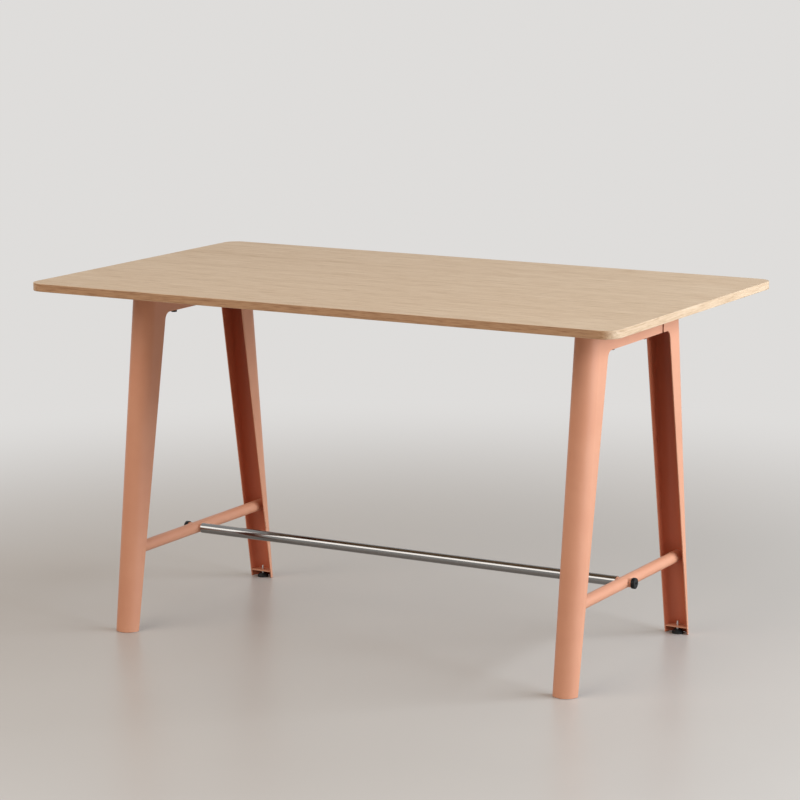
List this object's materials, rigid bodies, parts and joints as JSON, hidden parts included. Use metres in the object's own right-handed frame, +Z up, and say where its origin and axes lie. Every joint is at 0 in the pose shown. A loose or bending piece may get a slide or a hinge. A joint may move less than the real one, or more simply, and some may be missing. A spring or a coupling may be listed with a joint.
{
  "type": "high table",
  "caption": "Rectangular high table with an oak-faced top on leaning folded sheet-steel trestles, with a round footrest bar and screw-in levelling feet.",
  "frame": {"origin": "on the floor, under the middle of the table top", "axes": "+X along the table's length, +Y across it, +Z up"},
  "size_m": [1.6, 0.95, 0.9],
  "materials": {
    "oak_veneer": "matt lacquered oak",
    "oak_lipping": "matt lacquered oak",
    "board_core": "raw fibre board",
    "coral_paint": "fine matt powder coat",
    "stainless_steel": "polished, drawn along its length",
    "black_steel": "black oxide, satin",
    "zinc_steel": "bright zinc",
    "black_plastic": "moulded, fine texture"
  },
  "bodies": {
    "frame": {"top_core": "board_core", "top_face_veneer": "oak_veneer", "top_under_veneer": "oak_veneer", "top_lipping": "oak_lipping", "top_inserts": "zinc_steel", "footrest_bar": "stainless_steel", "footrest_plugs": "zinc_steel", "left_rear_leg": "coral_paint", "left_front_leg": "coral_paint", "left_rail_plate": "coral_paint", "left_bolt_sleeves": "coral_paint", "left_stretcher": "coral_paint", "left_footrest_sleeve": "coral_paint", "left_rear_foot_plate": "coral_paint", "left_front_foot_plate": "coral_paint", "left_top_bolts": "black_steel", "left_footrest_bolt": "black_steel", "right_rear_leg": "coral_paint", "right_front_leg": "coral_paint", "right_rail_plate": "coral_paint", "right_bolt_sleeves": "coral_paint", "right_stretcher": "coral_paint", "right_footrest_sleeve": "coral_paint", "right_rear_foot_plate": "coral_paint", "right_front_foot_plate": "coral_paint", "right_top_bolts": "black_steel", "right_footrest_bolt": "black_steel"},
    "left_front_pad": {"left_front_foot_pad": "black_plastic"},
    "left_front_stud": {"left_front_foot_stud": "zinc_steel"},
    "left_rear_pad": {"left_rear_foot_pad": "black_plastic"},
    "left_rear_stud": {"left_rear_foot_stud": "zinc_steel"},
    "right_front_pad": {"right_front_foot_pad": "black_plastic"},
    "right_front_stud": {"right_front_foot_stud": "zinc_steel"},
    "right_rear_pad": {"right_rear_foot_pad": "black_plastic"},
    "right_rear_stud": {"right_rear_foot_stud": "zinc_steel"}
  },
  "joints": [
    {"name": "left_front_foot_lift", "type": "slide", "parent": "frame", "child": "left_front_pad", "axis": [0, 0, 1], "range_m": [-0.01, 0.001]},
    {"name": "left_front_foot_screw", "type": "hinge", "parent": "left_front_pad", "child": "left_front_stud", "pos_m": [-0.618, -0.33, 0], "axis": [0, 0, 1], "range_deg": [-3672, 432]},
    {"name": "left_rear_foot_lift", "type": "slide", "parent": "frame", "child": "left_rear_pad", "axis": [0, 0, 1], "range_m": [-0.01, 0.001]},
    {"name": "left_rear_foot_screw", "type": "hinge", "parent": "left_rear_pad", "child": "left_rear_stud", "pos_m": [-0.618, 0.33, 0], "axis": [0, 0, 1], "range_deg": [-3672, 432]},
    {"name": "right_front_foot_lift", "type": "slide", "parent": "frame", "child": "right_front_pad", "axis": [0, 0, 1], "range_m": [-0.01, 0.001]},
    {"name": "right_front_foot_screw", "type": "hinge", "parent": "right_front_pad", "child": "right_front_stud", "pos_m": [0.618, -0.33, 0], "axis": [0, 0, 1], "range_deg": [-3672, 432]},
    {"name": "right_rear_foot_lift", "type": "slide", "parent": "frame", "child": "right_rear_pad", "axis": [0, 0, 1], "range_m": [-0.01, 0.001]},
    {"name": "right_rear_foot_screw", "type": "hinge", "parent": "right_rear_pad", "child": "right_rear_stud", "pos_m": [0.618, 0.33, 0], "axis": [0, 0, 1], "range_deg": [-3672, 432]}
  ],
  "couplings": [
    {"joint": "left_front_foot_screw", "follows": "left_front_foot_lift", "rad_per_m": 6283.2},
    {"joint": "left_rear_foot_screw", "follows": "left_rear_foot_lift", "rad_per_m": 6283.2},
    {"joint": "right_front_foot_screw", "follows": "right_front_foot_lift", "rad_per_m": 6283.2},
    {"joint": "right_rear_foot_screw", "follows": "right_rear_foot_lift", "rad_per_m": 6283.2}
  ]
}
